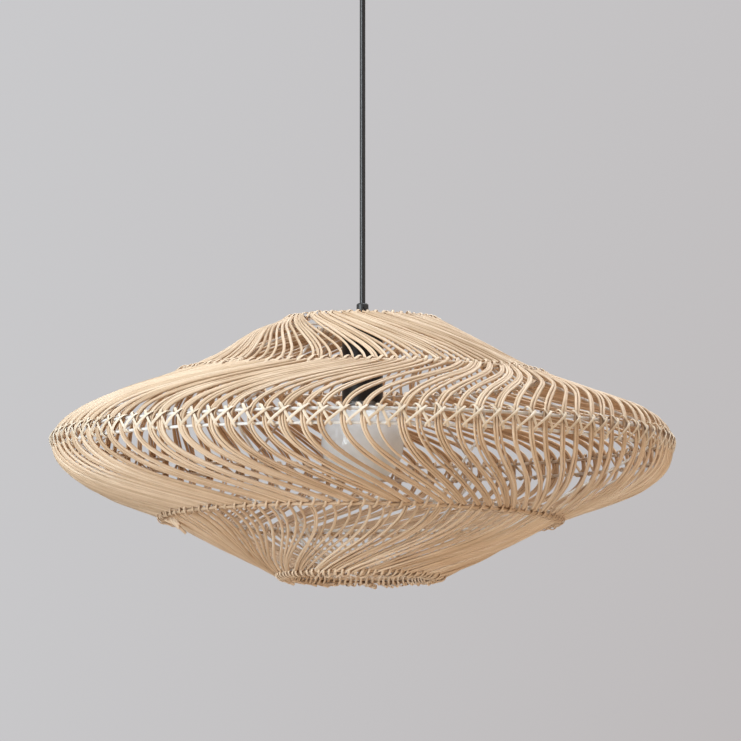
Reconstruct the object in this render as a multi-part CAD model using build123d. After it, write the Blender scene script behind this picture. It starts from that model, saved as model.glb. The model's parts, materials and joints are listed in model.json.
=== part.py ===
from build123d import *
import os
from math import cos, pi, radians, sin, sqrt

# Pendant ceiling light: a lens-shaped rattan shade on a wire frame, hung on a straight cord.
# Millimetres and degrees. The origin is the middle of the ceiling plane, +Z is up, and the light hangs below.
# Azimuths are counted from the front (-Y) towards the right (+X).

# Clearances
seat_gap = 0.3        # between pieces that move, or that lie against each other without a fit
fit_gap = 0.1         # round a thread, plug or shaft in its hole
turn_gap = 0.2        # above and below the shade's carrier, which turns on its nipple

# Ceiling fitting
cup_radius = 50.0
cup_height = 36.0
cup_wall = 1.2
cup_edge_radius = 6.0
strap_width = 18.0
strap_thickness = 2.0
ceiling_screw_spacing = 70.0
ceiling_screw_hole_radius = 2.5
supply_hole_radius = 5.0
ear_screw_drop = 12.0
ear_margin = 5.0      # ear below its screw
cup_screw_radius = 1.5
cup_screw_head_radius = 3.2
cup_screw_head_height = 2.0
cup_screw_length = 8.0
block_length = 15.0
block_width = 18.0
block_height = 13.0
block_offset = 19.0   # from the light's axis to the block's middle
pole_spacing = 9.0
pole_bore_radius = 1.5
pole_screw_radius = 1.8
pole_screw_height = 4.0

# Cord and cord grips
cord_radius = 3.2
cord_free_length = 360.0
core_radius = 1.1
core_spacing = 2.6
core_bend_radius = 3.0
tail_stub = 5.0       # sheath past the nipple's end
grip_height = 22.0
grip_wall = 1.8       # outside the nipple's thread
grip_chamfer = 1.4
grip_screw_radius = 1.5
grip_screw_drop = 4.6
grip_screw_head_radius = 2.4
grip_screw_head_height = 1.3
grip_boss_radius = 3.0
grip_boss_height = 1.2
gland_screw_azimuth = 25.0
nipple_radius = 5.0
nipple_engagement = 7.0
nut_wall = 2.6        # from the thread to the nut's flats
nut_thickness = 3.0

# Lampholder
cover_radius = 23.0
cover_height = 88.5
cover_wall = 1.0
cover_edge_radius = 4.0
holder_gap = 0.6      # between the cover and the holder inside it
holder_wall = 2.2
holder_cap_height = 26.0
holder_roof = 5.0
base_thickness = 6.0
sleeve_overhang = 2.0  # holder sleeve below the bulb's screw cap
thread_shell_wall = 0.7
contact_height = 2.2
contact_width = 4.0
contact_length = 9.0
terminal_radius = 2.2
terminal_height = 3.5
terminal_spacing = 16.0

# Bulb
globe_radius = 46.5
globe_wall = 1.0
globe_rim_gap = 5.6   # from the cover's rim down to the globe
neck_radius = 14.5
neck_length = 8.0
neck_plug_length = 5.0
screw_cap_radius = 13.1
screw_cap_wall = 0.5
screw_cap_length = 22.0
insulator_height = 4.5
insulator_tip_radius = 5.5
tip_radius = 4.0
tip_height = 1.4
driver_height = 14.0
led_board_thickness = 1.6

# Shade frame: drops are measured from the top hoop's plane
shade_radius = 350.0  # over the girth lashing
hoop_wire = 3.6
top_hoop_radius = 85.5
upper_hoop_radius = 202.0
upper_hoop_drop = 62.0
girth_drop = 139.0
girth_hoop_spacing = 15.5
lower_hoop_radius = 224.0
lower_hoop_drop = 217.0
bottom_hoop_radius = 87.0
bottom_hoop_drop = 286.0
carrier_hub_radius = 15.0
carrier_thickness = 2.0
carrier_arm_width = 8.0
carrier_arm_count = 4
stay_wire = 3.0
stay_count = 8

# Rattan: each band's canes leave its wider hoop straight and turn aside towards the narrower one
unit_count = 104      # lashed units round the shade
cane_width = 3.2
cane_spare = 0.3      # between neighbours where they lie closest
cane_rock = 0.3       # room for a cane's twist where it crosses a hoop
cane_overrun = 2.0    # of a cane past the middle of its wider hoop
cane_stop = 2.0       # of a cane short of the middle of its narrower hoop
crown_turn = -42.0
shoulder_turn = 30.0
belly_turn = 24.0
base_turn = -40.0
shoulder_inset = 2.0
shoulder_rise = 31.0
belly_inset = 2.0
belly_fall = 34.0
lashing_width = 1.8

# Levels down the light's axis
cup_grip_mouth = -cup_height - grip_height
gland_mouth = cup_grip_mouth - 2 * seat_gap - cord_free_length
gland_foot = gland_mouth - grip_height
carrier_top = gland_foot - turn_gap
top_hoop_level = carrier_top - carrier_thickness / 2
cover_top = carrier_top - carrier_thickness - turn_gap
cover_rim = cover_top - cover_height
globe_level = cover_rim - globe_rim_gap - sqrt(globe_radius**2 - cover_radius**2)
neck_foot = globe_level + sqrt(globe_radius**2 - neck_radius**2)
screw_cap_foot = neck_foot + neck_length
screw_cap_top = screw_cap_foot + screw_cap_length
insulator_top = screw_cap_top + insulator_height
bulb_top = insulator_top + tip_height
base_foot = bulb_top + seat_gap + contact_height
holder_cap_top = base_foot + holder_cap_height
nipple_foot = holder_cap_top - holder_roof
grip_radius = nipple_radius + grip_wall
cord_bore = cord_radius + fit_gap
holder_radius = cover_radius - cover_wall - holder_gap


def turned(*corners):
    """A solid turned about the light's axis from corners given as radius and level."""
    outline = Polyline(*[(radius, 0, level) for radius, level in corners], close=True)
    return revolve(make_face(outline), Axis.Z)


def tube(outer, inner, low, high):
    """A straight tube on the light's axis."""
    return turned((inner, low), (outer, low), (outer, high), (inner, high))


def rod(radius, low, high):
    """A straight rod on the light's axis."""
    return Pos(0, 0, low) * Cylinder(radius, high - low, align=(Align.CENTER, Align.CENTER, Align.MIN))


def radial_rod(radius, inner, outer, level, azimuth):
    """A rod that points away from the light's axis."""
    lying = Cylinder(radius, outer - inner, align=(Align.CENTER, Align.CENTER, Align.MIN))
    return Pos(0, 0, level) * Rot(0, 0, azimuth) * Pos(0, -inner, 0) * Rot(90, 0, 0) * lying


def bent_wire(radius, bend_radius, *points):
    """A round wire along straight runs with rounded bends."""
    path = FilletPolyline(*points, radius=bend_radius)
    return sweep(Plane(origin=path @ 0, z_dir=path % 0) * Circle(radius), path)


def place(radius, level, azimuth):
    """The point at a radius, level and azimuth."""
    return Vector(radius * sin(radians(azimuth)), -radius * cos(radians(azimuth)), level)


def faceted(rings, closed=False):
    """A solid with flat sides between successive rings of corners."""
    pairs = list(zip(rings, rings[1:]))
    if closed:
        pairs.append((rings[-1], rings[0]))
    faces = []
    for first, second in pairs:
        for index in range(len(first)):
            corners = [first[index - 1], first[index], second[index], second[index - 1]]
            faces.append(Face(Wire.make_polygon(corners)))
    if not closed:
        faces += [Face(Wire.make_polygon(rings[0])), Face(Wire.make_polygon(rings[-1]))]
    return Solid(Shell(faces))


def mitred_bar(points, section, outward):
    """A bar of one section along straight runs, mitred at the bends.

    The section's corners are given as (sideways, outward) distances from the line.
    """
    along = (points[1] - points[0]).normalized()
    up = (outward - along * outward.dot(along)).normalized()
    side = along.cross(up)
    ring = [points[0] + side * x + up * y for x, y in section]
    rings = [ring]
    for index in range(1, len(points)):
        along = (points[index] - points[index - 1]).normalized()
        mitre = along
        if index + 1 < len(points):
            mitre = along + (points[index + 1] - points[index]).normalized()
        ring = [corner + along * ((points[index] - corner).dot(mitre) / along.dot(mitre)) for corner in ring]
        rings.append(ring)
    return faceted(rings)


def ring_of(piece, count, first_azimuth=0.0):
    """Equal copies of a piece round the light's axis."""
    return [Rot(0, 0, first_azimuth + 360 * index / count) * piece for index in range(count)]


def hexagon_nut(low):
    """A hexagon nut on a nipple."""
    blank = extrude(RegularPolygon(nipple_radius + nut_wall, 6, major_radius=False), nut_thickness)
    return Pos(0, 0, low) * (blank - rod(nipple_radius + fit_gap, 0, nut_thickness))


def cord_grip():
    """A cord grip with its mouth up at level 0, and its clamp screw at the front."""
    face = grip_radius + grip_boss_height
    body = turned(
        (cord_bore, 0),
        (grip_radius - grip_chamfer, 0),
        (grip_radius, -grip_chamfer),
        (grip_radius, -grip_height),
        (nipple_radius + fit_gap, -grip_height),
        (nipple_radius + fit_gap, -grip_height + nipple_engagement),
        (cord_bore, -grip_height + nipple_engagement),
    )
    body += radial_rod(grip_boss_radius, grip_radius - grip_wall / 2, face, -grip_screw_drop, 0)
    body -= radial_rod(grip_screw_radius + fit_gap, 0, face, -grip_screw_drop, 0)
    head = radial_rod(grip_screw_head_radius, face, face + grip_screw_head_height, -grip_screw_drop, 0)
    screw = radial_rod(grip_screw_radius, cord_bore, face, -grip_screw_drop, 0) + head
    return body, screw


# Ceiling fitting
def ceiling_strap():
    """A flat strap with a bent ear at each end, drilled for the ceiling screws and the supply cable."""
    ear_height = ear_screw_drop + ear_margin
    strap = Box(2 * ear_face, strap_width, strap_thickness, align=(Align.CENTER, Align.CENTER, Align.MAX))
    for end in (-1, 1):
        ear = Box(strap_thickness, strap_width, ear_height, align=(Align.CENTER, Align.CENTER, Align.MAX))
        strap += Pos(end * (ear_face - strap_thickness / 2), 0, 0) * ear
        strap -= Pos(end * ceiling_screw_spacing / 2, 0, 0) * rod(
            ceiling_screw_hole_radius, -strap_thickness, 0
        )
        strap -= radial_rod(cup_screw_radius + fit_gap, cup_radius / 2, cup_radius, -ear_screw_drop, 90 * end)
    return strap - rod(supply_hole_radius, -strap_thickness, 0)


def ceiling_cup():
    """A shallow cup, open towards the ceiling."""
    inside = cup_radius - cup_wall
    floor = -cup_height + cup_wall
    cup = rod(cup_radius, -cup_height, 0)
    cup = fillet(cup.edges().group_by(Axis.Z)[0], cup_edge_radius)
    hollow = rod(inside, floor, 0)
    hollow = fillet(hollow.edges().group_by(Axis.Z)[0], cup_edge_radius - cup_wall)
    cup -= hollow
    cup -= rod(nipple_radius + fit_gap, -cup_height, floor)
    for azimuth in (-90, 90):
        cup -= radial_rod(cup_screw_radius + fit_gap, cup_radius / 2, cup_radius, -ear_screw_drop, azimuth)
    return cup


def cup_screws():
    """Two side screws through the cup into the strap's ears."""
    screws = []
    for azimuth in (-90, 90):
        shank = radial_rod(cup_screw_radius, cup_radius - cup_screw_length, cup_radius, -ear_screw_drop, azimuth)
        top = cup_radius + cup_screw_head_height
        screws.append(shank + radial_rod(cup_screw_head_radius, cup_radius, top, -ear_screw_drop, azimuth))
    return screws


def terminal_block():
    """A two-pole terminal block under the strap, bored through for the cores."""
    block = Box(block_length, block_width, block_height, align=(Align.CENTER, Align.CENTER, Align.MAX))
    block = Pos(block_offset, 0, -strap_thickness) * block
    for side in (-1, 1):
        bore = radial_rod(pole_bore_radius, 0, cup_radius, block_middle, 90)
        block -= Pos(0, side * pole_spacing / 2, 0) * bore
        for x in pole_screw_places:
            block -= Pos(x, side * pole_spacing / 2, 0) * rod(
                pole_screw_radius + fit_gap, block_foot, block_foot + pole_screw_height
            )
    return block


def terminal_screws():
    """Four clamp screws, sunk into the block from below."""
    screw = rod(pole_screw_radius, block_foot, block_foot + pole_screw_height)
    return [Pos(x, side * pole_spacing / 2, 0) * screw for x in pole_screw_places for side in (-1, 1)]


def cup_cores():
    """Two cores from the cord's end up and across into the terminal block."""
    entry = block_offset - block_length / 2 + pole_bore_radius
    return [
        bent_wire(
            core_radius,
            core_bend_radius,
            (0, side * core_spacing / 2, cup_tail_top),
            (0, side * core_spacing / 2, block_middle),
            (entry - block_length / 2, side * pole_spacing / 2, block_middle),
            (entry, side * pole_spacing / 2, block_middle),
        )
        for side in (-1, 1)
    ]


ear_face = sqrt((cup_radius - cup_wall) ** 2 - (strap_width / 2) ** 2) - seat_gap
block_foot = -strap_thickness - block_height
block_middle = -strap_thickness - block_height / 2 + pole_bore_radius
pole_screw_places = [block_offset + end * block_length / 4 for end in (-1, 1)]
cup_nipple_top = -cup_height + cup_wall + nut_thickness + nut_wall
cup_tail_top = cup_nipple_top + tail_stub

grip_body, grip_screw = cord_grip()
upside_down = Pos(0, 0, cup_grip_mouth) * Rot(180, 0, 0)
nodes = {
    "ceiling_strap": ceiling_strap(),
    "ceiling_cup": ceiling_cup(),
    "cup_screws": cup_screws(),
    "cup_nipple": tube(nipple_radius, cord_bore, -cup_height - nipple_engagement, cup_nipple_top),
    "cup_nut": hexagon_nut(-cup_height + cup_wall),
    "cup_cord_grip": upside_down * grip_body,
    "cup_grip_screw": upside_down * grip_screw,
    "terminal_block": terminal_block(),
    "terminal_screws": terminal_screws(),
    "cup_cord_tail": rod(cord_radius, cup_grip_mouth, cup_tail_top),
    "cup_cores": cup_cores(),
}

# Cord: straight and taut, with a round end at each grip so that it can swing there
cord_top = cup_grip_mouth - seat_gap - cord_radius
cord_foot = gland_mouth + seat_gap + cord_radius
cord_ends = [Pos(0, 0, level) * Sphere(cord_radius) for level in (cord_top, cord_foot)]
nodes["cord"] = rod(cord_radius, cord_foot, cord_top) + cord_ends[0] + cord_ends[1]


# Lampholder
def holder_cover():
    """A plain metal sleeve with a closed top."""
    cover = rod(cover_radius, cover_rim, cover_top)
    cover = fillet(cover.edges().group_by(Axis.Z)[-1], cover_edge_radius)
    hollow = rod(cover_radius - cover_wall, cover_rim, cover_top - cover_wall)
    hollow = fillet(hollow.edges().group_by(Axis.Z)[-1], cover_edge_radius - cover_wall)
    return cover - hollow - rod(nipple_radius + fit_gap, cover_rim, cover_top)


def holder_cap():
    """An insulating cap on the nipple's lower end, open below."""
    inner = holder_radius - holder_wall
    ceiling = holder_cap_top - holder_roof
    return turned(
        (nipple_radius + fit_gap, holder_cap_top),
        (holder_radius, holder_cap_top),
        (holder_radius, base_foot),
        (inner, base_foot),
        (inner, ceiling),
        (nipple_radius + fit_gap, ceiling),
    )


def centre_contact():
    """A brass tongue bent down from the base over the bulb's tip."""
    tongue = Box(contact_length, contact_width, thread_shell_wall, align=(Align.CENTER, Align.CENTER, Align.MIN))
    leg = Box(thread_shell_wall, contact_width, contact_height, align=(Align.MIN, Align.CENTER, Align.MIN))
    strip = Pos(0, 0, base_foot - contact_height) * tongue
    return strip + Pos(-contact_length / 2, 0, base_foot - contact_height) * leg


def holder_terminals():
    """Two terminal screws standing on the base."""
    top = base_foot + base_thickness + terminal_height
    screw = rod(terminal_radius, base_foot + base_thickness, top)
    return [Pos(side * terminal_spacing / 2, 0, 0) * screw for side in (-1, 1)]


def holder_cores():
    """Two cores from the cord's end, spread down to the tops of the terminals."""
    foot = base_foot + base_thickness + terminal_height
    middle = (holder_tail_foot + foot) / 2
    return [
        bent_wire(
            core_radius,
            core_bend_radius,
            (side * core_spacing / 2, 0, holder_tail_foot),
            (side * core_spacing / 2, 0, middle),
            (side * terminal_spacing / 2, 0, middle),
            (side * terminal_spacing / 2, 0, foot),
        )
        for side in (-1, 1)
    ]


holder_tail_foot = nipple_foot - fit_gap
sleeve_bore = screw_cap_radius + seat_gap + thread_shell_wall
to_gland = Pos(0, 0, gland_mouth) * Rot(0, 0, gland_screw_azimuth)
nodes |= {
    "gland_body": to_gland * grip_body,
    "gland_screw": to_gland * grip_screw,
    "nipple": tube(nipple_radius, cord_bore, nipple_foot, gland_foot + nipple_engagement),
    "nipple_nut": hexagon_nut(cover_top - cover_wall - nut_thickness),
    "holder_cord_tail": rod(cord_radius, holder_tail_foot, gland_mouth),
    "holder_cores": holder_cores(),
    "holder_cover": holder_cover(),
    "holder_cap": holder_cap(),
    "holder_base": rod(holder_radius - holder_wall - fit_gap, base_foot, base_foot + base_thickness),
    "holder_sleeve": tube(holder_radius, sleeve_bore + fit_gap, screw_cap_foot - sleeve_overhang, base_foot),
    "thread_shell": tube(sleeve_bore, screw_cap_radius + seat_gap, screw_cap_foot, base_foot),
    "centre_contact": centre_contact(),
    "holder_terminals": holder_terminals(),
}


# Bulb
def bulb_globe():
    """A blown globe whose neck narrows to a plug inside the screw cap."""
    plug = screw_cap_radius - screw_cap_wall - fit_gap
    inner_radius = globe_radius - globe_wall
    inner_neck = neck_radius - globe_wall
    inner_foot = globe_level + sqrt(inner_radius**2 - inner_neck**2)
    solids = []
    for sphere, neck, foot, stem in (
        (globe_radius, neck_radius, neck_foot, plug),
        (inner_radius, inner_neck, inner_foot, plug - globe_wall),
    ):
        top = screw_cap_foot + neck_plug_length
        bottom = (0, 0, globe_level - sphere)
        outline = ThreePointArc(bottom, (sphere, 0, globe_level), (neck, 0, foot))
        outline += Polyline(
            (neck, 0, foot),
            (neck, 0, screw_cap_foot - neck_length / 2),
            (stem, 0, screw_cap_foot),
            (stem, 0, top),
            (0, 0, top),
            bottom,
        )
        solids.append(revolve(make_face(outline), Axis.Z))
    return solids[0] - solids[1]


nodes |= {
    "bulb_globe": bulb_globe(),
    "bulb_screw_cap": tube(screw_cap_radius, screw_cap_radius - screw_cap_wall, screw_cap_foot, screw_cap_top),
    "bulb_insulator": turned(
        (0, screw_cap_top),
        (screw_cap_radius, screw_cap_top),
        (insulator_tip_radius, insulator_top),
        (0, insulator_top),
    ),
    "bulb_contact": rod(tip_radius, insulator_top, bulb_top),
    "bulb_driver": rod(
        screw_cap_radius - screw_cap_wall - fit_gap, screw_cap_top - driver_height, screw_cap_top
    ),
    "bulb_led_board": rod(
        screw_cap_radius - screw_cap_wall - fit_gap,
        screw_cap_top - driver_height - led_board_thickness,
        screw_cap_top - driver_height,
    ),
}

# Shade
cane_height = cane_width * sqrt(3) / 2
cane_section = [(-cane_width / 2, -cane_height / 3), (cane_width / 2, -cane_height / 3), (0, 2 * cane_height / 3)]
lashing_outer_line = shade_radius - lashing_width / 2
lashing_inner_line = lashing_outer_line - lashing_width - seat_gap
girth_cane_line = lashing_inner_line - lashing_width / 2 - seat_gap - cane_height
girth_hoop_radius = girth_cane_line - seat_gap - cane_rock - hoop_wire / 2

# Hoops as radius and level
top_hoop = (top_hoop_radius, top_hoop_level)
upper_hoop = (upper_hoop_radius, top_hoop_level - upper_hoop_drop)
girth_hoop_upper = (girth_hoop_radius, top_hoop_level - girth_drop + girth_hoop_spacing / 2)
girth_hoop_lower = (girth_hoop_radius, top_hoop_level - girth_drop - girth_hoop_spacing / 2)
lower_hoop = (lower_hoop_radius, top_hoop_level - lower_hoop_drop)
bottom_hoop = (bottom_hoop_radius, top_hoop_level - bottom_hoop_drop)


def square(size):
    """The corners of a square section, about its middle."""
    half = size / 2
    return [(-half, -half), (half, -half), (half, half), (-half, half)]


def hoop(radius, level):
    """A wire hoop in straight sides, two lashed units to a side."""
    sides = unit_count // 2
    corner_radius = radius * cos(pi / sides / 2) / cos(pi / sides)
    rings = []
    for index in range(sides):
        azimuth = 360 * index / sides
        rings.append(
            [place(corner_radius + x, level + y, azimuth) for x, y in square(hoop_wire)]
        )
    return faceted(rings, closed=True)


def middle_of(first, second):
    """The point half-way between two hoops in a section through the axis."""
    return ((first[0] + second[0]) / 2, (first[1] + second[1]) / 2)


def out_of(start, end):
    """The unit direction out of the shade, square to a line from a wider hoop to a narrower one."""
    length = distance(start, end)
    run = (end[0] - start[0]) / length
    rise = (end[1] - start[1]) / length
    return (rise, -run) if rise > 0 else (-rise, run)


def shifted(point, direction, distance):
    """A point in a section through the axis, moved along a direction."""
    return (point[0] + direction[0] * distance, point[1] + direction[1] * distance)


def distance(first, second):
    """The distance between two points in a section through the axis."""
    return sqrt((second[0] - first[0]) ** 2 + (second[1] - first[1]) ** 2)


def towards(point, goal, step):
    """A point in a section through the axis, moved a step towards another."""
    share = step / distance(point, goal)
    return (point[0] + share * (goal[0] - point[0]), point[1] + share * (goal[1] - point[1]))


def parabola(start, pull, end, way):
    """The point part of the way along a parabola drawn towards the point pull."""
    weights = ((1 - way) ** 2, 2 * way * (1 - way), way**2)
    return tuple(sum(w * point[axis] for w, point in zip(weights, (start, pull, end))) for axis in (0, 1))


def hoop_reach(direction):
    """How far a hoop's section reaches from its middle in a direction."""
    return hoop_wire / 2 * (abs(direction[0]) + abs(direction[1]))


def canes(outer, inner, bend, turn, first_azimuth):
    """One band of canes from a wider hoop to a narrower one.

    In a section through the axis the band is a parabola drawn towards the point bend. Seen along the axis a
    cane leaves the wider hoop straight inwards and turns aside by an angle that grows as the square of the way.
    Its ends lie on the outside of the hoops, past the middle of the wider and short of that of the narrower.
    """
    first_joint = parabola(outer, bend, inner, cane_stations[1])
    last_joint = parabola(outer, bend, inner, cane_stations[-2])
    outer_out = out_of(outer, first_joint)
    inner_out = out_of(last_joint, inner)
    last_turn = radians(abs(turn) * (1 - cane_stations[-2] ** 2))
    slant = inner[0] * last_turn / distance(last_joint, inner)
    dip = hoop_wire / 2 * slant * sin(last_turn / 2)
    seat = seat_gap + cane_rock + cane_height / 3
    start = towards(shifted(outer, outer_out, hoop_reach(outer_out) + seat), first_joint, -cane_overrun)
    end = towards(shifted(inner, inner_out, hoop_reach(inner_out) + seat + dip), last_joint, cane_stop)
    pull = shifted(bend, out_of(outer, inner), hoop_wire / 2 + seat)
    points = []
    for way in cane_stations:
        points.append(place(*parabola(start, pull, end, way), turn * way**2))
    cane = mitred_bar(points, cane_section, place(*outer_out, 0))
    room = 2 * pi * end[0] / sqrt(1 + slant**2)
    count = min(unit_count, int(room / (cane_width + cane_spare)))
    return ring_of(cane, count, first_azimuth)


def frame_stays():
    """Wires inside the hoops, from the top hoop to the bottom one."""
    inward = stay_wire / 2 + seat_gap
    line = []
    for ring, direction in (
        (top_hoop, out_of(upper_hoop, top_hoop)),
        (upper_hoop, out_of(girth_hoop_upper, top_hoop)),
        (girth_hoop_upper, (1, 0)),
        (girth_hoop_lower, (1, 0)),
        (lower_hoop, out_of(girth_hoop_lower, bottom_hoop)),
        (bottom_hoop, out_of(lower_hoop, bottom_hoop)),
    ):
        line.append(shifted(ring, direction, -hoop_reach(direction) - inward))
    points = [place(radius, level, 0) for radius, level in line]
    stay = mitred_bar(points, square(stay_wire), place(1, 0, 0))
    return ring_of(stay, stay_count, 180 / stay_count)


def girth_lashing():
    """Crossed ties between the girth hoops, one set over the other."""
    half = lashing_width / 2
    section = [(-half, -half), (half, -half), (0, half)]
    ties = []
    for line, lean in ((lashing_inner_line, half_unit), (lashing_outer_line, -half_unit)):
        low = place(line, girth_hoop_lower[1], -lean)
        high = place(line, girth_hoop_upper[1], lean)
        ties += ring_of(mitred_bar([low, high], section, place(1, 0, 0)), unit_count, half_unit)
    return ties


def shade_carrier():
    """A flat spider whose hub turns on the nipple and whose arms reach the top hoop."""
    reach = top_hoop_radius - hoop_wire / 2 - seat_gap
    arm = Box(reach, carrier_arm_width, carrier_thickness, align=(Align.MIN, Align.CENTER, Align.CENTER))
    spider = Cylinder(carrier_hub_radius, carrier_thickness)
    for piece in ring_of(arm, carrier_arm_count):
        spider += piece
    return Pos(0, 0, top_hoop_level) * (spider - Cylinder(nipple_radius + fit_gap, carrier_thickness))


cane_stations = (0.0, 0.42, 0.74, 1.0)
half_unit = 180 / unit_count
crown_start = shoulder_turn + half_unit
base_start = belly_turn + half_unit
shoulder_bend = (girth_hoop_upper[0] - shoulder_inset, girth_hoop_upper[1] + shoulder_rise)
belly_bend = (girth_hoop_lower[0] - belly_inset, girth_hoop_lower[1] - belly_fall)
nodes |= {
    "shade_carrier": shade_carrier(),
    "top_hoop": hoop(*top_hoop),
    "upper_hoop": hoop(*upper_hoop),
    "girth_hoop_upper": hoop(*girth_hoop_upper),
    "girth_hoop_lower": hoop(*girth_hoop_lower),
    "lower_hoop": hoop(*lower_hoop),
    "bottom_hoop": hoop(*bottom_hoop),
    "frame_stays": frame_stays(),
    "canes_crown": canes(upper_hoop, top_hoop, middle_of(upper_hoop, top_hoop), crown_turn, crown_start),
    "canes_shoulder": canes(girth_hoop_upper, upper_hoop, shoulder_bend, shoulder_turn, 0.0),
    "canes_belly": canes(girth_hoop_lower, lower_hoop, belly_bend, belly_turn, 0.0),
    "canes_base": canes(lower_hoop, bottom_hoop, middle_of(lower_hoop, bottom_hoop), base_turn, base_start),
    "girth_lashing": girth_lashing(),
}

os.makedirs("parts", exist_ok=True)
for name, piece in nodes.items():
    export_step(Compound(children=piece) if isinstance(piece, list) else piece, f"parts/{name}.step")
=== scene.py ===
# Looks of a rattan pendant light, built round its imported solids.
# Metres. The origin is the middle of the ceiling plane, +Z is up, and the light hangs below.
# Azimuths are counted from the front (-Y) towards the right (+X).
import json
import math

import bpy
import numpy as np
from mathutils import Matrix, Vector


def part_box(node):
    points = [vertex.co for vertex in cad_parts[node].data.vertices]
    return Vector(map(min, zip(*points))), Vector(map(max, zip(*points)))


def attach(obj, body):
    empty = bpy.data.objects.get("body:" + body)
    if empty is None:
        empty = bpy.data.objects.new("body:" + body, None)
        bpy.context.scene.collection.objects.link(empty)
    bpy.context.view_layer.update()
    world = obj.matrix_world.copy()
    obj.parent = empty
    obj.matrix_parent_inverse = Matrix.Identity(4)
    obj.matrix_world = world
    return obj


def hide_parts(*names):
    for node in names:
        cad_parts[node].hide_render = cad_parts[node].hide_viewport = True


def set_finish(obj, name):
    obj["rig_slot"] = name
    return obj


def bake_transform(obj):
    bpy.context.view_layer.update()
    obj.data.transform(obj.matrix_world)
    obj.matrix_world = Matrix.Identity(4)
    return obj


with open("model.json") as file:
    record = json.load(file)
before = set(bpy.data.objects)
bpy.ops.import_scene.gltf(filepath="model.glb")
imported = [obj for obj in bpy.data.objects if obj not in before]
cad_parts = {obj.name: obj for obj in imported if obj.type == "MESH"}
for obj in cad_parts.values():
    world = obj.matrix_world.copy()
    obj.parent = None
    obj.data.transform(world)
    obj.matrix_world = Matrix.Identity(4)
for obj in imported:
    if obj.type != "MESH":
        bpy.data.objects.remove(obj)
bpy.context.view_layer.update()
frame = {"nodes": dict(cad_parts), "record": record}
draw = np.random.default_rng(11)  # the one source of all unevenness

# View: pixels of the square photograph, and metres
image_width = 741
axis_column = 362.5
top_hoop_row = 323.6
horizon_row = 929                 # below the picture: the camera stands lower than the shade
pixel_size = 0.001129             # at the light's axis
camera_distance = 5.645
sensor_width = 36.0               # millimetres, as the camera wants it

# Canes
unit_count = 104                  # lashed units round the shade
unit_shift = 0.09                 # about how far a unit is off its place, in units
cane_radius = 0.0015
cane_thickness = (0.88, 1.18)     # the thinnest and the thickest cane, in cane radii
cane_spacing = 2.0                # between the canes of a bundle, in cane radii
cane_play = 0.25                  # and how much more there may be
cane_climb = 1.7                  # how high a cane climbs on its neighbour, in cane radii
cane_stations = 40
side_waver = 0.0006               # about how far a cane wavers along the shade's surface
out_waver = 0.0005                # and out of it
group_share = (0.16, 0.26)        # a unit's share of a group, so that four to six units gather
kick_spread = 0.7                 # how unlike each other the kicks of the units are

# Wire
hoop_wobble = 0.0004
stay_radius = 0.0015
stay_count = 8
seat_gap = 0.0002                 # between a hoop and the canes on it

# Bindings
tie_half_width = 0.0016
tie_half_thickness = 0.0007
tie_skew = 0.0012                 # about how far a tie's ends are off their places
tie_shift = 0.0006                # and the whole tie, up or down
loop_points = 14
loop_stray = 0.2 / (2 * math.pi)  # about how far a loop is off its place, in loops
loop_swell = 0.07
ring_radius = 0.0019
ring_wobble = 0.0003
knot_radius = 0.0024
paler = (0.0, 0.2)                # limits of a strand's tint
browner = (0.75, 1.0)

# How the shade hangs out of true
shade_lean = math.radians(0.4)    # the right side hangs lower
girth_spread = 0.0032             # the girth is wider
girth_spread_right = 0.0010       # and more so on the right
lower_tuck = 0.004                # the lower hoop is narrower
tuck_reach = 0.02
crown_hump = 0.005                # the crown's left side bulges
hump_start = 0.1525               # as a share of the way from the top hoop to the upper one
upper_sag = 0.0035                # the upper hoop sags at the front
sag_reach = 0.05
base_lift = 0.0028                # the base is drawn up
fuller_above = 0.14               # the right side is fuller above the girth
fuller_below = 0.10               # and below it

# Cord
cord_radius = 0.0032
cord_straight = 6 * 2 * cord_radius    # a cord leaves its grip straight for so long
cord_steps = 48


def polar(radius, azimuth, level):
    """Points at a radius, azimuth and level."""
    radius, azimuth, level = np.broadcast_arrays(radius, azimuth, level)
    return np.stack([radius * np.sin(azimuth), -radius * np.cos(azimuth), level], axis=-1)


def unit(vectors):
    """Vectors scaled to length 1."""
    return vectors / np.linalg.norm(vectors, axis=-1, keepdims=True)


def hoop_line(node):
    """The radius and level of a hoop's middle line."""
    low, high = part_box(node)
    wire = high.z - low.z
    return np.array([(high.x - low.x) / 2 - wire / 2, (low.z + high.z) / 2])


hoop_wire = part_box("top_hoop")[1].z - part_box("top_hoop")[0].z
top = hoop_line("top_hoop")
upper = hoop_line("upper_hoop")
girth_upper = hoop_line("girth_hoop_upper")
girth_lower = hoop_line("girth_hoop_lower")
girth = (girth_upper + girth_lower) / 2
lower = hoop_line("lower_hoop")
bottom = hoop_line("bottom_hoop")


# Camera
def make_camera():
    """A camera below the shade that looks slightly up."""
    middle = image_width / 2
    level = top[1] - (horizon_row - top_hoop_row) * pixel_size
    camera = bpy.data.objects.new("camera", bpy.data.cameras.new("camera"))
    bpy.context.scene.collection.objects.link(camera)
    camera.location = (0, -camera_distance, level)
    aim_side = (middle - axis_column) * pixel_size
    aim_level = level + (horizon_row - middle) * pixel_size
    sight = Vector((aim_side, 0, aim_level)) - camera.location
    camera.data.sensor_width = sensor_width
    camera.data.lens = sensor_width * sight.length / (image_width * pixel_size)
    camera.rotation_mode = "QUATERNION"
    camera.rotation_quaternion = sight.to_track_quat("-Z", "Y")
    bpy.context.scene.camera = camera


make_camera()


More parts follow.
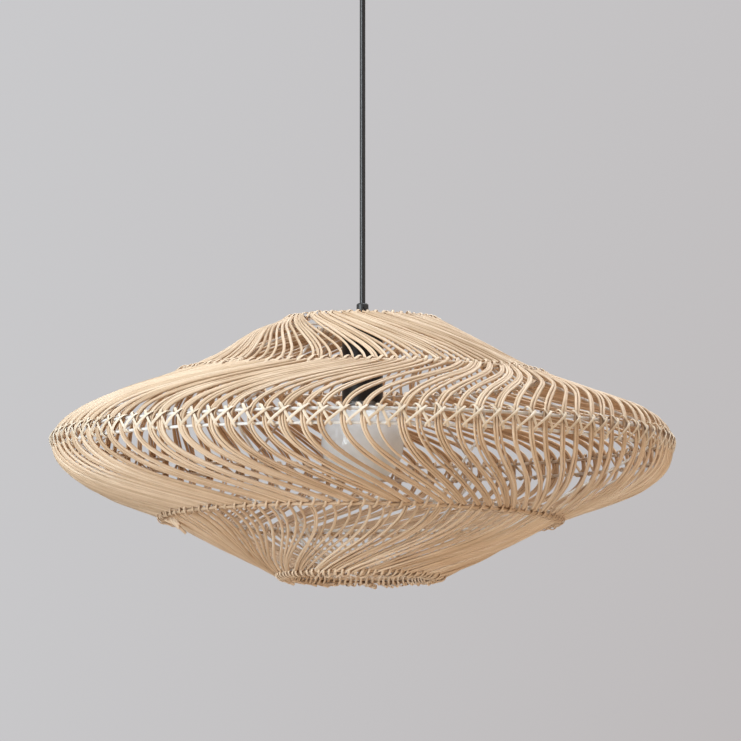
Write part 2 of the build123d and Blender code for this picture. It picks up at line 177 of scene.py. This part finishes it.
# Meshes
def new_object(name, points, faces):
    """A smooth mesh object."""
    mesh = bpy.data.meshes.new(name)
    mesh.from_pydata(np.reshape(points, (-1, 3)).tolist(), [], faces)
    mesh.shade_smooth()
    mesh.set_sharp_from_angle(angle=math.radians(75))
    made = bpy.data.objects.new(name, mesh)
    bpy.context.scene.collection.objects.link(made)
    return made


def lay_coordinates(made, paths, rows, facet, sides):
    """Coordinates on a mesh of strands, in metres along each strand and round it."""
    size = (len(paths), rows, sides)
    step = np.linalg.norm(np.diff(paths, axis=1, append=paths[:, :1]), axis=-1)
    length = np.concatenate([np.zeros((len(paths), 1)), np.cumsum(step, axis=1)], axis=1)
    girths = np.arange(sides + 1) * facet
    low_u = np.broadcast_to(length[:, :rows, None], size)
    high_u = np.broadcast_to(length[:, 1 : rows + 1, None], size)
    low_v = np.broadcast_to(girths[:-1], size)
    high_v = np.broadcast_to(girths[1:], size)
    corners = np.stack([low_u, low_v, low_u, high_v, high_u, high_v, high_u, low_v], axis=-1).reshape(-1)
    spread = np.zeros(2 * len(made.data.loops))
    spread[: len(corners)] = corners
    made.data.uv_layers.new(name="strand").uv.foreach_set("vector", spread)


def strands(name, paths, ups, half_width, half_thickness, sides=8, closed=False, tints=(0.0, 1.0)):
    """One mesh of many strands with an oval section.

    paths and ups are arrays of strands x points x 3, and a strand's thickness lies along its up
    direction. Each strand has a tint of its own between two limits.
    """
    count, stations = paths.shape[:2]
    if closed:
        along = np.roll(paths, -1, axis=1) - np.roll(paths, 1, axis=1)
    else:
        along = np.gradient(paths, axis=1)
    along = unit(along)
    side = unit(np.cross(along, ups))
    up = np.cross(side, along)
    turn = 2 * np.pi * np.arange(sides) / sides
    half_width = np.broadcast_to(half_width, (count, stations))[..., None, None]
    half_thickness = np.broadcast_to(half_thickness, (count, stations))[..., None, None]
    across = np.cos(turn)[:, None] * half_width * side[:, :, None]
    through = np.sin(turn)[:, None] * half_thickness * up[:, :, None]
    points = paths[:, :, None] + across + through
    index = np.arange(count * stations * sides).reshape(count, stations, sides)
    first = index if closed else index[:, :-1]
    following = np.roll(index, -1, axis=1) if closed else index[:, 1:]
    corners = [first, np.roll(first, -1, axis=2), np.roll(following, -1, axis=2), following]
    faces = np.stack(corners, axis=-1).reshape(-1, 4).tolist()
    if not closed:
        faces += index[:, 0, ::-1].tolist() + index[:, -1].tolist()
    made = new_object(name, points, faces)
    facet = 2 * np.pi * half_width.mean() / sides
    lay_coordinates(made, paths, first.shape[1], facet, sides)
    tint = made.data.attributes.new("tint", "FLOAT", "POINT")
    tint.data.foreach_set("value", np.repeat(draw.uniform(*tints, count), stations * sides))
    return made


# Lines
def settled(points):
    """Points of the shade as it hangs, out of true."""
    x, y, z = np.moveaxis(points, -1, 0)
    radius = np.hypot(x, y)
    aside = x / radius
    ahead = -y / radius
    above = z - girth[1]
    from_lower = np.clip((radius - lower[0]) / (girth[0] - lower[0]), 0, 1)
    from_top = (radius - top[0]) / (upper[0] - top[0])
    from_hump = np.clip((from_top - hump_start) / (1 - hump_start), 0, 1)
    spread = (girth_spread + girth_spread_right * aside) * from_lower**2
    tuck = lower_tuck * np.exp(-(((z - lower[1]) / tuck_reach) ** 2))
    stretch = 1 + (spread - tuck) / radius
    hump = crown_hump * np.sin(2 * np.pi * from_hump) * (1 - from_hump) * np.clip(-aside, 0, 1) ** 3
    sag = upper_sag * np.exp(-(((radius - upper[0]) / sag_reach) ** 2)) * np.clip(ahead, 0, 1) ** 2
    lift = base_lift * np.clip((lower[1] - z) / (lower[1] - bottom[1]), 0, 1)
    fuller = 1 + np.where(above > 0, fuller_above, fuller_below) * aside * from_lower**4
    rise = girth[1] - top[1] + above * fuller + (hump - sag) * (above > 0) + lift
    x = x * stretch
    y = y * stretch
    return np.stack([
        x * np.cos(shade_lean) + rise * np.sin(shade_lean),
        y,
        top[1] - x * np.sin(shade_lean) + rise * np.cos(shade_lean),
    ], axis=-1)


def drawn_line(corners, steps, passes):
    """Points along a line of corners, some steps to an edge, rounded in passes over the neighbours."""
    corners = np.array(corners)
    edges = len(corners) - 1
    stations = np.linspace(0, edges, steps * edges + 1)
    line = np.stack([np.interp(stations, np.arange(edges + 1), column) for column in corners.T], axis=-1)
    for _ in range(passes):
        line[1:-1] = (line[:-2] + 2 * line[1:-1] + line[2:]) / 4
    return line


def ripple(azimuth, reach, waves):
    """Random waves round the axis, each with its number of crests."""
    return sum(draw.normal(0, reach) * np.sin(crests * azimuth + draw.uniform(0, 6)) for crests in waves)


def smooth_noise(size, reach, waves=6):
    """Random offsets for rows of points, which change smoothly along each row."""
    rows, points = size
    way = np.linspace(0, 1, points)
    total = np.zeros(size)
    for wave in range(1, waves + 1):
        phase = draw.uniform(0, 2 * np.pi, (rows, 1))
        total += draw.normal(0, 1 / wave, (rows, 1)) * np.sin(np.pi * wave * way + phase)
    return reach * total


# Bands of canes
def bezier(start, first_pull, second_pull, end, way):
    """Points on a smooth line drawn towards two points between its ends."""
    way = way[..., None]
    rest = 1 - way
    return start * rest**3 + 3 * first_pull * rest**2 * way + 3 * second_pull * rest * way**2 + end * way**3


def straight(start, end):
    """The corners of a smooth line that is straight."""
    return start, start + (end - start) / 3, end + (start - end) / 3, end


def cane_paths(section, azimuth, asides, lifts):
    """Lines of canes on a surface of revolution, and the directions out of that surface.

    section holds each cane's radius and level at each station. asides and lifts move a cane along
    the surface and out of it.
    """
    slope = np.gradient(section, axis=1)
    out = unit(np.stack([slope[..., 1], -slope[..., 0]], axis=-1))
    out = out * np.sign(np.sum(out * (section - [0, girth[1]]), axis=-1, keepdims=True))
    surface = polar(section[..., 0], azimuth, section[..., 1])
    normal = polar(out[..., 0], azimuth, out[..., 1])
    side = unit(np.cross(np.gradient(surface, axis=1), normal))
    return surface + side * asides[..., None] + normal * lifts[..., None], normal


def bundles(shares):
    """Canes in bundles, one for each unit; shares holds how often one, two and three canes occur."""
    sizes = draw.choice(np.arange(len(shares)) + 1, unit_count, p=shares)
    bundle = np.repeat(np.arange(unit_count), sizes)
    rank = np.concatenate([np.arange(size) for size in sizes])
    count = len(bundle)
    spacing = cane_radius * (cane_spacing + cane_play * draw.random(count))
    return {
        "bundle": bundle,
        "rank": rank,
        "aside": (rank - (sizes[bundle] - 1) / 2) * spacing,
        "shift": draw.normal(0, unit_shift, unit_count),
        "thickness": cane_radius * draw.uniform(*cane_thickness, (count, 1)),
    }


def band(name, node, corners, turn, first_azimuth, canes, power, stack=0.0, stray=0.0, gather=0.0,
         uneven=0.0, kick=0.0, overrun=0.0):
    """One band of canes in bundles, from a wider hoop to a narrower one.

    The azimuth gained grows to turn with a power of the way, after a kick the other way. stack is
    how far a bundle's canes climb over each other at the narrower hoop. stray and gather are how far
    single bundles and groups of them are off their places there, in units. uneven is how far a
    bundle stands out of the surface between the hoops, and overrun how far the longest canes run
    past the narrower hoop.
    """
    bundle = canes["bundle"]
    rank = canes["rank"][:, None]
    size = (len(bundle), cane_stations)
    way = np.linspace(0, 1, cane_stations) * (1 + overrun * draw.random((len(bundle), 1)))
    pitch = 2 * np.pi / unit_count
    start = first_azimuth + pitch * (np.arange(unit_count) + canes["shift"])
    sway = np.sin(2 * np.pi * np.cumsum(draw.uniform(*group_share, unit_count)))
    gain = turn + pitch * (draw.normal(0, stray, unit_count) + gather * sway)
    swerve = kick * draw.normal(1, kick_spread, unit_count)
    azimuth = start[bundle, None] + gain[bundle, None] * way**power
    azimuth = azimuth + swerve[bundle, None] * way * np.clip(1 - way, 0, 1) ** 3
    belly = np.sin(np.pi * np.clip(way, 0, 1))
    asides = canes["aside"][:, None] * (1 - stack * way**2) + belly * smooth_noise(size, side_waver)
    climb = (rank % 2) * cane_climb * cane_radius * stack * way**2
    lifts = climb + belly * smooth_noise(size, out_waver)
    lifts = lifts + draw.normal(0, uneven, unit_count)[bundle, None] * way * belly
    paths, normal = cane_paths(bezier(*corners, way), azimuth, asides, lifts)
    made = strands(name, settled(paths), normal, canes["thickness"], canes["thickness"])
    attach(made, "shade")
    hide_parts(node)
    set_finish(made, "rattan")
    return made


seat = hoop_wire / 2 + cane_radius + seat_gap
half_unit = math.pi / unit_count
girth_line = girth + [seat, 0]

# Each pair added to a hoop is an offset in radius and level.
crown_corners = straight(upper + [0.0005, seat], top + [0.001, seat])
shoulder_corners = (
    girth_line, girth_line + [0.002, 0.036], upper + [0.086, -0.030], upper + [0.0025, 0.0028]
)
belly_corners = (
    girth_line, girth_line + [0.002, -0.036], lower + [0.074, 0.024], lower + [0.0025, -0.0028]
)
base_corners = straight(lower + [0.0005, -seat], bottom + [0.001, -seat])
crown_turn = math.radians(-42)
shoulder_turn = math.radians(30)
belly_turn = math.radians(25)
base_turn = math.radians(-43)

crown_bundles = bundles((0.75, 0.25))
girth_bundles = bundles((0.03, 0.57, 0.4))     # these canes run on past the girth, so two bands share them
base_bundles = bundles((0.6, 0.35, 0.05))
canes = [
    band("crown_canes", "canes_crown", crown_corners, crown_turn, shoulder_turn + half_unit, crown_bundles,
         power=2.0, stray=0.4),
    band("shoulder_canes", "canes_shoulder", shoulder_corners, shoulder_turn, 0.0, girth_bundles,
         power=2.0, stack=0.3, stray=0.15, gather=0.25, uneven=0.0008),
    band("belly_canes", "canes_belly", belly_corners, belly_turn, 0.0, girth_bundles,
         power=2.2, stack=0.3, stray=0.2, gather=0.45, uneven=0.0014),
    band("base_canes", "canes_base", base_corners, base_turn, belly_turn + half_unit, base_bundles,
         power=2.7, stack=0.8, stray=0.6, gather=0.55, uneven=0.0008, kick=math.radians(6), overrun=0.07),
]


# Wire frame
def wire_hoop(name, node, line, points=256):
    """A round wire hoop, not quite true."""
    azimuth = 2 * np.pi * np.arange(points) / points
    wobble = ripple(azimuth, hoop_wobble, (2, 3, 5))
    path = polar(line[0] + wobble, azimuth, line[1])[None]
    ups = np.broadcast_to([0.0, 0.0, 1.0], path.shape)
    made = strands(name, settled(path), ups, hoop_wire / 2, hoop_wire / 2, sides=12, closed=True)
    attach(made, "shade")
    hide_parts(node)
    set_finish(made, "white_wire")
    return made


def wire_stays():
    """Wires inside the hoops, from the top hoop to the bottom one."""
    inset = hoop_wire / 2 + stay_radius
    line = drawn_line([
        top + [-0.3 * inset, -inset],
        upper + [-0.4 * inset, -inset],
        girth_upper + [-inset, 0.004],
        girth_lower + [-inset, -0.004],
        lower + [-0.4 * inset, inset],
        bottom + [-0.3 * inset, inset],
    ], steps=16, passes=3)
    azimuths = 2 * np.pi * (np.arange(stay_count) + 0.5) / stay_count
    paths = polar(line[:, 0], azimuths[:, None], line[:, 1])
    tangent = polar(1.0, azimuths + np.pi / 2, 0.0)[:, None]
    ups = unit(np.cross(np.gradient(paths, axis=1), tangent))
    made = strands("wire_stays", settled(paths), ups, stay_radius, stay_radius)
    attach(made, "shade")
    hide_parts("frame_stays")
    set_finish(made, "white_wire")
    return made


wires = [
    wire_hoop("top_wire", "top_hoop", top),
    wire_hoop("upper_wire", "upper_hoop", upper),
    wire_hoop("girth_wire_upper", "girth_hoop_upper", girth_upper),
    wire_hoop("girth_wire_lower", "girth_hoop_lower", girth_lower),
    wire_hoop("lower_wire", "lower_hoop", lower),
    wire_hoop("bottom_wire", "bottom_hoop", bottom),
    wire_stays(),
]


# Bindings
def cane_ring(name, line, tints, points=256):
    """A thicker cane bound along a hoop."""
    azimuth = 2 * np.pi * np.arange(points) / points
    wobble = ripple(azimuth, ring_wobble, (9, 17, 31))
    path = polar(line[0] + wobble, azimuth, line[1] - wobble)[None]
    ups = np.broadcast_to([0.0, 0.0, 1.0], path.shape)
    made = strands(name, settled(path), ups, ring_radius, ring_radius, 8, True, tints)
    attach(made, "shade")
    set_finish(made, "rattan")
    return made


def winding(name, line, loops, reach, rise, front_share, half_width, tints=(0.0, 1.0)):
    """A strand wound round a hoop and the cane ends on it.

    reach and rise are the loop's half width and half height, and front_share is the part of each
    loop that climbs across the front.
    """
    turn = np.arange(loops * loop_points) / loop_points
    phase = turn % 1
    front = -0.5 + phase / front_share
    back = 0.5 + (phase - front_share) / (1 - front_share)
    angle = np.pi * np.where(phase < front_share, front, back)
    azimuth = 2 * np.pi * turn / loops
    azimuth = azimuth + ripple(azimuth, 2 * np.pi * loop_stray / loops, (7, 23, 41, 67))
    swell = 1 + sum(
        loop_swell * np.sin(crests * azimuth + draw.uniform(0, 6)) for crests in (11, 31, 53)
    )
    radius = line[0] + reach * swell * np.cos(angle)
    level = line[1] + rise * swell * np.sin(angle)
    path = polar(radius, azimuth, level)[None]
    along = np.roll(path, -1, axis=1) - np.roll(path, 1, axis=1)
    ups = unit(np.cross(along, polar(1.0, azimuth + np.pi / 2, 0.0)[None]))
    made = strands(name, settled(path), ups, half_width, tie_half_thickness, 6, True, tints)
    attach(made, "shade")
    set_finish(made, "rattan")
    return made


def crossed_ties():
    """Crossed ties over the canes between the girth hoops.

    Each corner of a tie is in millimetres aside, up and out of the girth's middle.
    """
    steep = [
        [-5.4, 7.0, -4.0], [-5.0, 12.0, -1.0], [-4.0, 14.6, 3.0], [0.0, 8.5, 6.6],
        [5.0, -1.5, 6.2], [8.2, -7.5, 4.4], [8.8, -11.0, 0.0], [8.8, -7.0, -4.0],
    ]
    slanting = [
        [6.0, 6.5, -4.0], [6.0, 11.8, 0.5], [4.9, 10.6, 5.0], [0.0, 6.2, 8.4],
        [-8.0, -0.5, 7.6], [-15.0, -6.6, 5.0], [-16.4, -10.6, 0.5], [-16.4, -7.0, -4.0],
    ]
    azimuths = 2 * np.pi * np.arange(unit_count) / unit_count
    paths = []
    for corners in (steep, slanting):
        aside, up, out = drawn_line(corners, steps=4, passes=3).T / 1000
        aside = aside + draw.normal(0, tie_skew, (unit_count, 1)) * np.linspace(1, -1, len(aside))
        level = girth[1] + up + draw.normal(0, tie_shift, (unit_count, 1))
        paths.append(polar(girth[0] + out, azimuths[:, None] + aside / girth[0], level))
    paths = np.concatenate(paths)
    tangent = np.tile(polar(1.0, azimuths + np.pi / 2, 0.0), (2, 1))[:, None]
    ups = unit(np.cross(np.gradient(paths, axis=1), tangent))
    made = strands("girth_ties", settled(paths), ups, tie_half_width, tie_half_thickness, sides=6)
    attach(made, "shade")
    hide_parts("girth_lashing")
    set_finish(made, "rattan_binding")
    return made


def loose_end(name, side, corners, turns, strand_count):
    """A twisted bundle of strands beside the lower hoop, and one strand that runs on as its tail.

    side is -1 on the left and 1 on the right. Each corner is in millimetres out of the hoop's side,
    forwards and up.
    """
    out, ahead, up = np.array(corners).T / 1000
    places = np.stack([side * (lower[0] + out), -ahead, lower[1] + up], axis=-1)
    line = drawn_line(places, steps=12, passes=12)
    way = np.linspace(0, 1, len(line))
    angle = 2 * np.pi * (np.arange(strand_count)[:, None] / strand_count + turns * way)
    twist = knot_radius * np.stack([0 * angle, np.cos(angle), np.sin(angle)], axis=-1)
    bundle = (line + twist)[:, : 2 * len(line) // 3 + 1]
    tail = line[None, len(line) // 2 :]
    made = []
    for piece_name, paths in ((name, bundle), (name + "_tail", tail)):
        ups = np.broadcast_to([0.0, -1.0, 0.0], paths.shape)
        piece = strands(piece_name, settled(paths), ups, tie_half_width, tie_half_width, sides=6)
        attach(piece, "shade")
        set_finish(piece, "rattan")
        made.append(piece)
    return made


left_knot = [(1.7, 20, 0.8), (-3.3, 34, -8.2), (-14.3, 40, -12.7), (-22.3, 42, -21.2), (-28.3, 42, -26.2)]
right_knot = [(-0.8, 20, 1.3), (-4.8, 32, -4.7), (-12.3, 36, -6.7), (-16.3, 36, -7.7), (-19.3, 36, -7.7)]
bindings = [
    cane_ring("upper_ring", upper + [0.0052, 0.0014], paler),
    cane_ring("lower_ring", lower + [0.0036, -0.0058], browner),
    cane_ring("bottom_ring", bottom + [0.0046, -0.0022], browner),
    cane_ring("bottom_ring_inner", bottom + [-0.0036, 0.0003], browner),
    winding("top_binding", top + [0.0005, 0.001], loops=56, reach=0.0050, rise=0.0044,
            front_share=0.6, half_width=0.0016, tints=paler),
    winding("upper_binding", upper + [0.0025, 0.0012], loops=unit_count, reach=0.0072, rise=0.0052,
            front_share=0.85, half_width=0.0017, tints=paler),
    crossed_ties(),
    winding("lower_binding", lower + [0.0015, -0.0022], loops=unit_count, reach=0.0068, rise=0.0072,
            front_share=0.6, half_width=0.0014),
    winding("bottom_binding", bottom + [0.0008, -0.0016], loops=80, reach=0.0080, rise=0.0056,
            front_share=0.7, half_width=0.0014),
    *loose_end("left_knot", -1, left_knot, turns=2.5, strand_count=4),
    *loose_end("right_knot", 1, right_knot, turns=2.0, strand_count=3),
]


# Cord
def spline_points(route, steps):
    """Points along the smooth line that a route's points draw."""
    curve = bpy.data.curves.new("route", "CURVE")
    curve.dimensions = "3D"
    curve.resolution_u = steps
    spline = curve.splines.new("NURBS")
    spline.points.add(len(route) - 1)
    for point, place in zip(spline.points, route):
        point.co = (*place, 1)
    spline.order_u = 3
    spline.use_endpoint_u = True
    holder = bpy.data.objects.new("route", curve)
    line = bpy.data.meshes.new_from_object(holder)
    points = np.array([vertex.co for vertex in line.vertices])
    bpy.data.objects.remove(holder)
    bpy.data.curves.remove(curve)
    bpy.data.meshes.remove(line)
    return points


def cord_half(name, mouth):
    """Half of the straight cord, from the mouth of its grip to the cord's middle."""
    towards_middle = math.copysign(1, cord_middle[2] - mouth)
    route = [(0, 0, mouth), (0, 0, mouth + towards_middle * cord_straight), tuple(cord_middle)]
    path = spline_points(route, cord_steps)
    ups = np.broadcast_to([0.0, -1.0, 0.0], path.shape)
    made = strands(name, path[None], ups[None], cord_radius, cord_radius, sides=20)
    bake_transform(made)
    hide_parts("cord")
    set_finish(made, "cord_sheath")
    return made


grip_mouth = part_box("cup_cord_grip")[0].z
gland_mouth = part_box("gland_body")[1].z
cord_middle = np.array([0.0, 0.0, (grip_mouth + gland_mouth) / 2])
cords = [
    cord_half("cord_upper", grip_mouth),
    cord_half("cord_lower", gland_mouth),
]


# Materials
def material(name, colour, roughness, **sockets):
    """A material with one shader, set by the names of its sockets with _ for spaces."""
    made = bpy.data.materials.new(name)
    made.use_nodes = True
    shader = made.node_tree.nodes["Principled BSDF"]
    shader.inputs["Base Color"].default_value = (*colour, 1)
    shader.inputs["Roughness"].default_value = roughness
    for socket, value in sockets.items():
        shader.inputs[socket.replace("_", " ")].default_value = value
    return made, shader


def node(made, kind, inputs=(), **settings):
    """A new node of a material or world, with its settings and the values or links of its inputs."""
    new = made.node_tree.nodes.new("ShaderNode" + kind)
    for name, value in settings.items():
        setattr(new, name, value)
    for name, value in dict(inputs).items():
        if isinstance(value, bpy.types.NodeSocket):
            made.node_tree.links.new(value, new.inputs[name])
        else:
            new.inputs[name].default_value = value
    return new


def maths(made, operation, first, second):
    """One calculation on two numbers."""
    return node(made, "Math", {0: first, 1: second}, operation=operation).outputs["Value"]


def vector_maths(made, operation, *vectors):
    """One calculation on vectors."""
    new = node(made, "VectorMath", enumerate(vectors), operation=operation)
    return new.outputs["Value" if operation == "DOT_PRODUCT" else "Vector"]


def mapped(made, value, before, after=(0.0, 1.0)):
    """A value carried from one pair of limits to another."""
    limits = {"From Min": before[0], "From Max": before[1], "To Min": after[0], "To Max": after[1]}
    return node(made, "MapRange", {"Value": value, **limits}).outputs["Result"]


def noise(made, places, scale, detail):
    """A smooth random value at each place."""
    return node(made, "TexNoise", {"Vector": places, "Scale": scale, "Detail": detail}).outputs["Fac"]


def ramp(made, value, *stops):
    """A colour ramp over a value, with stops as position and colour."""
    new = node(made, "ValToRGB", {"Fac": value})
    for index, (position, colour) in enumerate(stops):
        if index < 2:
            stop = new.color_ramp.elements[index]
            stop.position = position
        else:
            stop = new.color_ramp.elements.new(position)
        stop.color = (*colour, 1)
    return new.outputs["Color"]


def bump(made, shader, height, distance, strength):
    """Relief on a material's shader."""
    relief = node(made, "Bump", {"Height": height, "Distance": distance, "Strength": strength})
    made.node_tree.links.new(relief.outputs["Normal"], shader.inputs["Normal"])


def outlook(made):
    """How far a surface looks out of the shade, from 0 on its inside to 1; it masks the painted shade on
    inside faces.

    All that lies below the lower hoop counts as 1.
    """
    coordinates = node(made, "TexCoord").outputs
    places = coordinates["Object"]
    from_middle = vector_maths(made, "SUBTRACT", places, (0, 0, girth[1]))
    outward = vector_maths(made, "MULTIPLY", from_middle, (1, 1, 3.5))    # the shade is flat
    outward = vector_maths(made, "NORMALIZE", outward)
    facing = vector_maths(made, "DOT_PRODUCT", outward, coordinates["Normal"])
    level = node(made, "SeparateXYZ", {"Vector": places}).outputs["Z"]
    below = mapped(made, level, (girth[1], lower[1]))
    return maths(made, "ADD", mapped(made, facing, (-0.5, 0.2)), below)


def with_painted_shade(made, colour, share, least, most, tone):
    """A colour darkened by a tone of painted shade where a share is at its least, and plain at its most."""
    factor = ramp(made, share, (least, tone), (most, (1.0, 1.0, 1.0)))
    return vector_maths(made, "MULTIPLY", colour, factor)


def cane_material(name, pale, middle, deep, painted_inner_shade):
    """Natural cane, with painted shade on its faces inside the shade and in the crevices between canes:
    each strand has a tint, long fibres and faint patches.
    """
    made, shader = material(name, middle, 0.55, Specular_IOR_Level=0.35)
    links = made.node_tree.links
    tint = node(made, "Attribute", attribute_name="tint").outputs["Fac"]
    strand = node(made, "UVMap", uv_map="strand").outputs["UV"]
    stretched = node(made, "Mapping", {"Vector": strand, "Scale": (9, 1400, 1)}).outputs["Vector"]
    fibre = noise(made, stretched, 1.0, 5.0)
    patch = noise(made, node(made, "TexCoord").outputs["Object"], 26.0, 3.0)
    mixed = maths(made, "ADD", maths(made, "ADD", tint, patch), fibre)
    mixed = maths(made, "DIVIDE", mixed, 3.0)
    colour = ramp(made, mixed, (0.3, pale), (0.7, deep), (0.5, middle))
    # painted shade: faces that look into the shade darken by the inner tone
    colour = with_painted_shade(made, colour, outlook(made), 0.0, 1.0, painted_inner_shade)
    # painted shade: the colour darkens in the crevices between canes, where ambient occlusion finds them
    # closed in
    crevice_shade_mask = node(made, "AmbientOcclusion", {"Distance": 0.004}, samples=6).outputs["AO"]
    colour = with_painted_shade(made, colour, crevice_shade_mask, 0.2, 0.7, (0.52, 0.42, 0.35))
    links.new(colour, shader.inputs["Base Color"])
    links.new(mapped(made, fibre, (0.0, 1.0), (0.45, 0.68)), shader.inputs["Roughness"])
    bump(made, shader, fibre, 0.0003, 0.5)
    return made


def grained(name, colour, roughness, scale, relief, painted_inner_shade=None, **sockets):
    """A plain finish with a fine grain in its gloss and relief, which may carry painted shade on its faces
    inside the shade.
    """
    made, shader = material(name, colour, roughness, **sockets)
    links = made.node_tree.links
    grain = noise(made, node(made, "TexCoord").outputs["Object"], scale, 4.0)
    rough = mapped(made, grain, (0.0, 1.0), (roughness * 0.8, roughness * 1.2))
    links.new(rough, shader.inputs["Roughness"])
    darker = tuple(part * 0.88 for part in colour)
    tone = ramp(made, grain, (0.3, darker), (0.7, colour))
    if painted_inner_shade:
        # painted shade: faces that look into the shade darken by the inner tone
        tone = with_painted_shade(made, tone, outlook(made), 0.0, 1.0, painted_inner_shade)
    links.new(tone, shader.inputs["Base Color"])
    bump(made, shader, grain, relief, 0.3)
    return made


def core_material():
    """Brown and blue cores, told apart by the side that they lie on."""
    made, shader = material("core_insulation", (0.2, 0.08, 0.03), 0.35)
    places = node(made, "TexCoord").outputs["Object"]
    parts = node(made, "SeparateXYZ", {"Vector": places}).outputs
    which = maths(made, "GREATER_THAN", maths(made, "ADD", parts["X"], parts["Y"]), 0.0)
    colour = ramp(made, which, (0.0, (0.16, 0.06, 0.02)), (1.0, (0.02, 0.09, 0.4)))
    made.node_tree.links.new(colour, shader.inputs["Base Color"])
    return made


# The last colour of each cane finish, and the white wire's inner colour, is painted shade on faces inside
# the shade
finishes = {
    "rattan": cane_material(
        "rattan", (0.82, 0.66, 0.50), (0.72, 0.543, 0.383), (0.56, 0.395, 0.255), (0.85, 0.72, 0.60)),
    "rattan_binding": cane_material(
        "rattan_binding", (0.87, 0.765, 0.635), (0.80, 0.68, 0.53), (0.67, 0.52, 0.37), (0.72, 0.58, 0.46)),
    "white_wire": grained(
        "white_wire", (0.81, 0.79, 0.76), 0.42, 300, 0.0002, painted_inner_shade=(0.72, 0.56, 0.43)),
    "cord_sheath": grained("cord_sheath", (0.016, 0.015, 0.015), 0.38, 900, 0.0001),
    "black_plastic": grained("black_plastic", (0.018, 0.017, 0.017), 0.45, 1200, 0.0001),
    "black_metal": grained(
        "black_metal", (0.014, 0.011, 0.010), 0.42, 700, 0.0001, Specular_IOR_Level=0.25),
    "plated_steel": grained("plated_steel", (0.62, 0.62, 0.60), 0.32, 900, 0.0001, Metallic=1.0),
    "brass": grained("brass", (0.78, 0.58, 0.28), 0.30, 900, 0.0001, Metallic=1.0),
    "nickel": grained("nickel", (0.70, 0.69, 0.66), 0.28, 900, 0.0001, Metallic=1.0),
    "white_ceramic": grained("white_ceramic", (0.82, 0.81, 0.78), 0.35, 500, 0.0001),
    "board_white": grained("board_white", (0.86, 0.86, 0.83), 0.40, 500, 0.0001),
    "frosted_glass": grained(
        "frosted_glass", (0.82, 0.85, 0.88), 0.60, 60, 0.0001, Specular_IOR_Level=0.1, Coat_Weight=0.6,
        Coat_Roughness=0.02),
    "core_insulation": core_material(),
}
slots = {part["node"]: part["material_slot"] for part in frame["record"]["subparts"]}
for name, piece in frame["nodes"].items():
    piece.data.materials.clear()
    piece.data.materials.append(finishes[slots[name]])
for piece in canes + wires + bindings + cords:
    piece.data.materials.append(finishes[piece["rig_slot"]])


# Stage and light
def make_floor():
    """A wide pale floor, far below the light, which is clear when looked at from below."""
    level = -3.0
    half = 40.0
    corners = [(-half, -half, level), (half, -half, level), (half, half, level), (-half, half, level)]
    floor = new_object("floor", corners, [(0, 1, 2, 3)])
    pale, shader = material("floor", (0.62, 0.60, 0.58), 0.8)
    links = pale.node_tree.links
    seen = node(pale, "LightPath").outputs["Is Camera Ray"]
    shader.inputs["Emission Color"].default_value = (1.0, 0.99, 0.99, 1)
    links.new(maths(pale, "MULTIPLY", seen, 0.40), shader.inputs["Emission Strength"])
    back = node(pale, "NewGeometry").outputs["Backfacing"]
    clear = node(pale, "BsdfTransparent").outputs["BSDF"]
    mix = node(pale, "MixShader", {0: back, 1: shader.outputs["BSDF"], 2: clear}).outputs["Shader"]
    links.new(mix, pale.node_tree.nodes["Material Output"].inputs["Surface"])
    floor.data.materials.append(pale)


def make_world():
    """A pale grey behind the light, with painted shade that darkens it to the lower right, and a soft glow
    from all round.
    """
    world = bpy.data.worlds.new("studio")
    bpy.context.scene.world = world
    world.use_nodes = True
    nodes = world.node_tree.nodes
    glow = nodes["Background"]
    glow.inputs["Color"].default_value = (1.0, 0.75, 0.55, 1)
    glow.inputs["Strength"].default_value = 0.20
    sight = node(world, "SeparateXYZ", {"Vector": node(world, "TexCoord").outputs["Generated"]}).outputs
    # painted shade: the grey seen behind the light darkens towards the lower right
    across = mapped(world, sight["X"], (-0.13, 0.12))
    fall = mapped(world, sight["Z"], (0.40, -0.10))
    both = maths(world, "MULTIPLY", across, fall)
    grey = ramp(world, both, (0.0, (0.600, 0.602, 0.618)), (0.7, (0.498, 0.470, 0.470)))
    seen = node(world, "Background", {"Color": grey})
    path = node(world, "LightPath").outputs
    sharp = maths(world, "MAXIMUM", path["Is Camera Ray"], path["Is Transmission Ray"])
    sharp = maths(world, "MAXIMUM", sharp, path["Is Glossy Ray"])
    mix = node(world, "MixShader", {0: sharp, 1: glow.outputs[0], 2: seen.outputs[0]}).outputs["Shader"]
    world.node_tree.links.new(mix, nodes["World Output"].inputs["Surface"])


def make_light(name, place, width, height, power, colour):
    """A soft light aimed at the middle of the shade."""
    lamp = bpy.data.lights.new(name, "AREA")
    lamp.shape = "RECTANGLE"
    lamp.size = width
    lamp.size_y = height
    lamp.color = colour
    lamp.energy = power
    made = bpy.data.objects.new(name, lamp)
    made.location = place
    made.rotation_mode = "QUATERNION"
    made.rotation_quaternion = (Vector((0, 0, girth[1])) - made.location).to_track_quat("-Z", "Y")
    bpy.context.scene.collection.objects.link(made)


make_floor()
make_world()
make_light("window_light", (-2.65, -2.4, 0.2), 1.3, 2.4, 148, (0.84, 0.94, 1.0))
make_light("overhead_light", (0.8, -0.2, 2.1), 2.0, 2.0, 74, (0.90, 0.96, 1.0))
make_light("fill_light", (2.6, -1.7, -0.6), 1.6, 1.6, 11, (1.0, 0.88, 0.76))
make_light("floor_glow", (0.8, -1.5, -2.6), 2.4, 2.4, 28, (1.0, 0.72, 0.45))
make_light("back_light", (0.8, 3.0, 1.4), 2.4, 2.4, 25, (1.0, 0.97, 0.94))
bpy.context.scene.view_settings.view_transform = "Standard"
